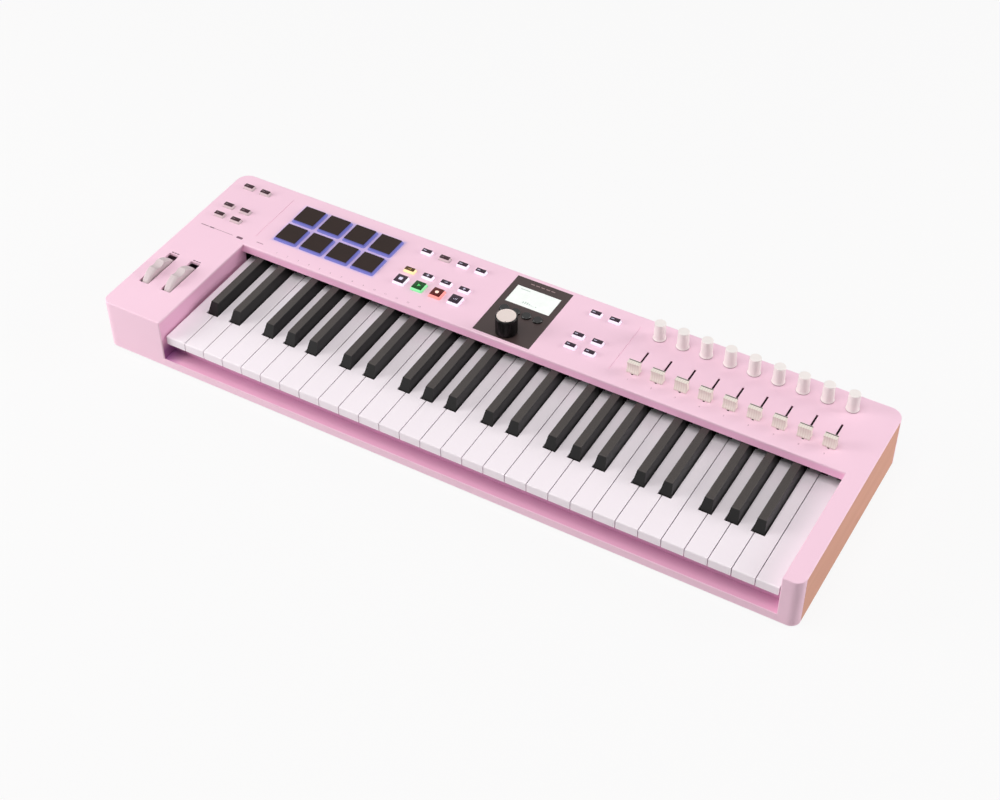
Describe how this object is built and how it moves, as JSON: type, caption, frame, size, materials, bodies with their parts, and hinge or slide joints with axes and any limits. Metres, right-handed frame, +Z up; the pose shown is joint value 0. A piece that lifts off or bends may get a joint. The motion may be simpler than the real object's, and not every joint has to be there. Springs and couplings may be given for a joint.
{
  "type": "midi keyboard",
  "caption": "Desktop keyboard controller with full-size keys, pitch and mod wheels, drum pads, lit buttons, display, encoder, knobs and faders.",
  "frame": {"origin": "middle of the footprint, on the surface the rubber feet stand on", "axes": "+X along the keys from bass to treble, +Y from the player to the rear, +Z up"},
  "size_m": [0.779, 0.2516, 0.0816],
  "materials": {
    "shell_pink": "satin moulded",
    "base_grey": "fine texture",
    "side_tan": "satin grained",
    "feet_rubber": "matt",
    "screw_steel": "zinc plated",
    "display_dark": "satin dark",
    "lcd_white": "backlit screen",
    "board_green": "solder mask",
    "guide_glow": "translucent, lit",
    "socket_black": "moulded",
    "frame_grey": "moulded",
    "spring_steel": "bright",
    "contact_rubber": "matt silicone",
    "wheel_cream": "satin",
    "main_knob_black": "fine ribbed",
    "button_black": "gloss",
    "button_plain": "translucent, unlit",
    "button_lit": "translucent, lit",
    "key_white": "gloss moulded",
    "key_black": "satin moulded",
    "knob_cream": "satin",
    "fader_cream": "satin",
    "pad_rubber": "matt silicone"
  },
  "bodies": {
    "case": {"top_case": "shell_pink", "bottom_case": "base_grey", "side_panel_left": "side_tan", "side_panel_right": "side_tan", "rubber_feet": "feet_rubber", "case_screws": "screw_steel", "display_glass": "display_dark", "lcd_module": "lcd_white", "control_board": "board_green", "pad_light_guide": "guide_glow", "rear_sockets": "socket_black", "keybed_frame": "frame_grey", "key_springs": "spring_steel", "key_contact_strip": "contact_rubber"},
    "keys_c": {"keys_c": "key_white"},
    "keys_d": {"keys_d": "key_white"},
    "keys_e": {"keys_e": "key_white"},
    "keys_f": {"keys_f": "key_white"},
    "keys_g": {"keys_g": "key_white"},
    "keys_a": {"keys_a": "key_white"},
    "keys_b": {"keys_b": "key_white"},
    "keys_c_sharp": {"keys_c_sharp": "key_black"},
    "keys_d_sharp": {"keys_d_sharp": "key_black"},
    "keys_f_sharp": {"keys_f_sharp": "key_black"},
    "keys_g_sharp": {"keys_g_sharp": "key_black"},
    "keys_a_sharp": {"keys_a_sharp": "key_black"},
    "pitch_wheel": {"pitch_wheel": "wheel_cream"},
    "mod_wheel": {"mod_wheel": "wheel_cream"},
    "main_knob": {"main_knob": "main_knob_black"},
    "knob_1": {"knob_1": "knob_cream"},
    "knob_2": {"knob_2": "knob_cream"},
    "knob_3": {"knob_3": "knob_cream"},
    "knob_4": {"knob_4": "knob_cream"},
    "knob_5": {"knob_5": "knob_cream"},
    "knob_6": {"knob_6": "knob_cream"},
    "knob_7": {"knob_7": "knob_cream"},
    "knob_8": {"knob_8": "knob_cream"},
    "knob_9": {"knob_9": "knob_cream"},
    "fader_1": {"fader_1": "fader_cream"},
    "fader_2": {"fader_2": "fader_cream"},
    "fader_3": {"fader_3": "fader_cream"},
    "fader_4": {"fader_4": "fader_cream"},
    "fader_5": {"fader_5": "fader_cream"},
    "fader_6": {"fader_6": "fader_cream"},
    "fader_7": {"fader_7": "fader_cream"},
    "fader_8": {"fader_8": "fader_cream"},
    "fader_9": {"fader_9": "fader_cream"},
    "pad_1": {"pad_1": "pad_rubber"},
    "pad_2": {"pad_2": "pad_rubber"},
    "pad_3": {"pad_3": "pad_rubber"},
    "pad_4": {"pad_4": "pad_rubber"},
    "pad_5": {"pad_5": "pad_rubber"},
    "pad_6": {"pad_6": "pad_rubber"},
    "pad_7": {"pad_7": "pad_rubber"},
    "pad_8": {"pad_8": "pad_rubber"},
    "left_buttons": {"left_buttons": "button_plain"},
    "right_buttons": {"right_buttons": "button_lit"},
    "function_buttons": {"function_buttons": "button_lit"},
    "transport_buttons": {"transport_buttons": "button_lit"},
    "display_buttons": {"display_buttons": "button_black"}
  },
  "joints": [
    {"name": "keys_c_press", "type": "hinge", "parent": "case", "child": "keys_c", "pos_m": [0, 0.066, 0.033], "axis": [1, 0, 0], "range_deg": [0, 3.1], "stiffness_Nm_per_rad": 2.5, "springref_deg": -10},
    {"name": "keys_d_press", "type": "hinge", "parent": "case", "child": "keys_d", "pos_m": [0, 0.066, 0.033], "axis": [1, 0, 0], "range_deg": [0, 3.1], "stiffness_Nm_per_rad": 2.5, "springref_deg": -10},
    {"name": "keys_e_press", "type": "hinge", "parent": "case", "child": "keys_e", "pos_m": [0, 0.066, 0.033], "axis": [1, 0, 0], "range_deg": [0, 3.1], "stiffness_Nm_per_rad": 2.5, "springref_deg": -10},
    {"name": "keys_f_press", "type": "hinge", "parent": "case", "child": "keys_f", "pos_m": [0, 0.066, 0.033], "axis": [1, 0, 0], "range_deg": [0, 3.1], "stiffness_Nm_per_rad": 2.5, "springref_deg": -10},
    {"name": "keys_g_press", "type": "hinge", "parent": "case", "child": "keys_g", "pos_m": [0, 0.066, 0.033], "axis": [1, 0, 0], "range_deg": [0, 3.1], "stiffness_Nm_per_rad": 2.5, "springref_deg": -10},
    {"name": "keys_a_press", "type": "hinge", "parent": "case", "child": "keys_a", "pos_m": [0, 0.066, 0.033], "axis": [1, 0, 0], "range_deg": [0, 3.1], "stiffness_Nm_per_rad": 2.5, "springref_deg": -10},
    {"name": "keys_b_press", "type": "hinge", "parent": "case", "child": "keys_b", "pos_m": [0, 0.066, 0.033], "axis": [1, 0, 0], "range_deg": [0, 3.1], "stiffness_Nm_per_rad": 2.5, "springref_deg": -10},
    {"name": "keys_c_sharp_press", "type": "hinge", "parent": "case", "child": "keys_c_sharp", "pos_m": [0, 0.066, 0.033], "axis": [1, 0, 0], "range_deg": [0, 3.1], "stiffness_Nm_per_rad": 2.5, "springref_deg": -10},
    {"name": "keys_d_sharp_press", "type": "hinge", "parent": "case", "child": "keys_d_sharp", "pos_m": [0, 0.066, 0.033], "axis": [1, 0, 0], "range_deg": [0, 3.1], "stiffness_Nm_per_rad": 2.5, "springref_deg": -10},
    {"name": "keys_f_sharp_press", "type": "hinge", "parent": "case", "child": "keys_f_sharp", "pos_m": [0, 0.066, 0.033], "axis": [1, 0, 0], "range_deg": [0, 3.1], "stiffness_Nm_per_rad": 2.5, "springref_deg": -10},
    {"name": "keys_g_sharp_press", "type": "hinge", "parent": "case", "child": "keys_g_sharp", "pos_m": [0, 0.066, 0.033], "axis": [1, 0, 0], "range_deg": [0, 3.1], "stiffness_Nm_per_rad": 2.5, "springref_deg": -10},
    {"name": "keys_a_sharp_press", "type": "hinge", "parent": "case", "child": "keys_a_sharp", "pos_m": [0, 0.066, 0.033], "axis": [1, 0, 0], "range_deg": [0, 3.1], "stiffness_Nm_per_rad": 2.5, "springref_deg": -10},
    {"name": "pitch_wheel_turn", "type": "hinge", "parent": "case", "child": "pitch_wheel", "pos_m": [-0.3694, -0.0575, 0.0426], "axis": [1, 0, 0], "range_deg": [-32, 32], "stiffness_Nm_per_rad": 0.06},
    {"name": "mod_wheel_turn", "type": "hinge", "parent": "case", "child": "mod_wheel", "pos_m": [-0.3412, -0.0575, 0.0426], "axis": [1, 0, 0], "range_deg": [-32, 32]},
    {"name": "main_knob_turn", "type": "hinge", "parent": "case", "child": "main_knob", "pos_m": [-0.0025, 0.03825, 0.0606], "axis": [0, 0, 1], "continuous": true},
    {"name": "knob_1_turn", "type": "hinge", "parent": "case", "child": "knob_1", "pos_m": [0.1364, 0.1048, 0.0606], "axis": [0, 0, 1], "continuous": true},
    {"name": "knob_2_turn", "type": "hinge", "parent": "case", "child": "knob_2", "pos_m": [0.16222, 0.1048, 0.0606], "axis": [0, 0, 1], "continuous": true},
    {"name": "knob_3_turn", "type": "hinge", "parent": "case", "child": "knob_3", "pos_m": [0.18804, 0.1048, 0.0606], "axis": [0, 0, 1], "continuous": true},
    {"name": "knob_4_turn", "type": "hinge", "parent": "case", "child": "knob_4", "pos_m": [0.21386, 0.1048, 0.0606], "axis": [0, 0, 1], "continuous": true},
    {"name": "knob_5_turn", "type": "hinge", "parent": "case", "child": "knob_5", "pos_m": [0.23968, 0.1048, 0.0606], "axis": [0, 0, 1], "continuous": true},
    {"name": "knob_6_turn", "type": "hinge", "parent": "case", "child": "knob_6", "pos_m": [0.2655, 0.1048, 0.0606], "axis": [0, 0, 1], "continuous": true},
    {"name": "knob_7_turn", "type": "hinge", "parent": "case", "child": "knob_7", "pos_m": [0.29132, 0.1048, 0.0606], "axis": [0, 0, 1], "continuous": true},
    {"name": "knob_8_turn", "type": "hinge", "parent": "case", "child": "knob_8", "pos_m": [0.31714, 0.1048, 0.0606], "axis": [0, 0, 1], "continuous": true},
    {"name": "knob_9_turn", "type": "hinge", "parent": "case", "child": "knob_9", "pos_m": [0.34296, 0.1048, 0.0606], "axis": [0, 0, 1], "continuous": true},
    {"name": "fader_1_slide", "type": "slide", "parent": "case", "child": "fader_1", "axis": [0, 1, 0], "range_m": [0, 0.028]},
    {"name": "fader_2_slide", "type": "slide", "parent": "case", "child": "fader_2", "axis": [0, 1, 0], "range_m": [0, 0.028]},
    {"name": "fader_3_slide", "type": "slide", "parent": "case", "child": "fader_3", "axis": [0, 1, 0], "range_m": [0, 0.028]},
    {"name": "fader_4_slide", "type": "slide", "parent": "case", "child": "fader_4", "axis": [0, 1, 0], "range_m": [0, 0.028]},
    {"name": "fader_5_slide", "type": "slide", "parent": "case", "child": "fader_5", "axis": [0, 1, 0], "range_m": [0, 0.028]},
    {"name": "fader_6_slide", "type": "slide", "parent": "case", "child": "fader_6", "axis": [0, 1, 0], "range_m": [0, 0.028]},
    {"name": "fader_7_slide", "type": "slide", "parent": "case", "child": "fader_7", "axis": [0, 1, 0], "range_m": [0, 0.028]},
    {"name": "fader_8_slide", "type": "slide", "parent": "case", "child": "fader_8", "axis": [0, 1, 0], "range_m": [0, 0.028]},
    {"name": "fader_9_slide", "type": "slide", "parent": "case", "child": "fader_9", "axis": [0, 1, 0], "range_m": [0, 0.028]},
    {"name": "pad_1_press", "type": "slide", "parent": "case", "child": "pad_1", "axis": [0, 0, -1], "range_m": [0, 0.0006], "stiffness_N_per_m": 2500, "springref_m": -0.0004},
    {"name": "pad_2_press", "type": "slide", "parent": "case", "child": "pad_2", "axis": [0, 0, -1], "range_m": [0, 0.0006], "stiffness_N_per_m": 2500, "springref_m": -0.0004},
    {"name": "pad_3_press", "type": "slide", "parent": "case", "child": "pad_3", "axis": [0, 0, -1], "range_m": [0, 0.0006], "stiffness_N_per_m": 2500, "springref_m": -0.0004},
    {"name": "pad_4_press", "type": "slide", "parent": "case", "child": "pad_4", "axis": [0, 0, -1], "range_m": [0, 0.0006], "stiffness_N_per_m": 2500, "springref_m": -0.0004},
    {"name": "pad_5_press", "type": "slide", "parent": "case", "child": "pad_5", "axis": [0, 0, -1], "range_m": [0, 0.0006], "stiffness_N_per_m": 2500, "springref_m": -0.0004},
    {"name": "pad_6_press", "type": "slide", "parent": "case", "child": "pad_6", "axis": [0, 0, -1], "range_m": [0, 0.0006], "stiffness_N_per_m": 2500, "springref_m": -0.0004},
    {"name": "pad_7_press", "type": "slide", "parent": "case", "child": "pad_7", "axis": [0, 0, -1], "range_m": [0, 0.0006], "stiffness_N_per_m": 2500, "springref_m": -0.0004},
    {"name": "pad_8_press", "type": "slide", "parent": "case", "child": "pad_8", "axis": [0, 0, -1], "range_m": [0, 0.0006], "stiffness_N_per_m": 2500, "springref_m": -0.0004},
    {"name": "left_buttons_press", "type": "slide", "parent": "case", "child": "left_buttons", "axis": [0, 0, -1], "range_m": [0, 0.0006], "stiffness_N_per_m": 1500, "springref_m": -0.0004},
    {"name": "right_buttons_press", "type": "slide", "parent": "case", "child": "right_buttons", "axis": [0, 0, -1], "range_m": [0, 0.0006], "stiffness_N_per_m": 1500, "springref_m": -0.0004},
    {"name": "function_buttons_press", "type": "slide", "parent": "case", "child": "function_buttons", "axis": [0, 0, -1], "range_m": [0, 0.0006], "stiffness_N_per_m": 1500, "springref_m": -0.0004},
    {"name": "transport_buttons_press", "type": "slide", "parent": "case", "child": "transport_buttons", "axis": [0, 0, -1], "range_m": [0, 0.0006], "stiffness_N_per_m": 1500, "springref_m": -0.0004},
    {"name": "display_buttons_press", "type": "slide", "parent": "case", "child": "display_buttons", "axis": [0, 0, -1], "range_m": [0, 0.0006], "stiffness_N_per_m": 1500, "springref_m": -0.0004}
  ]
}
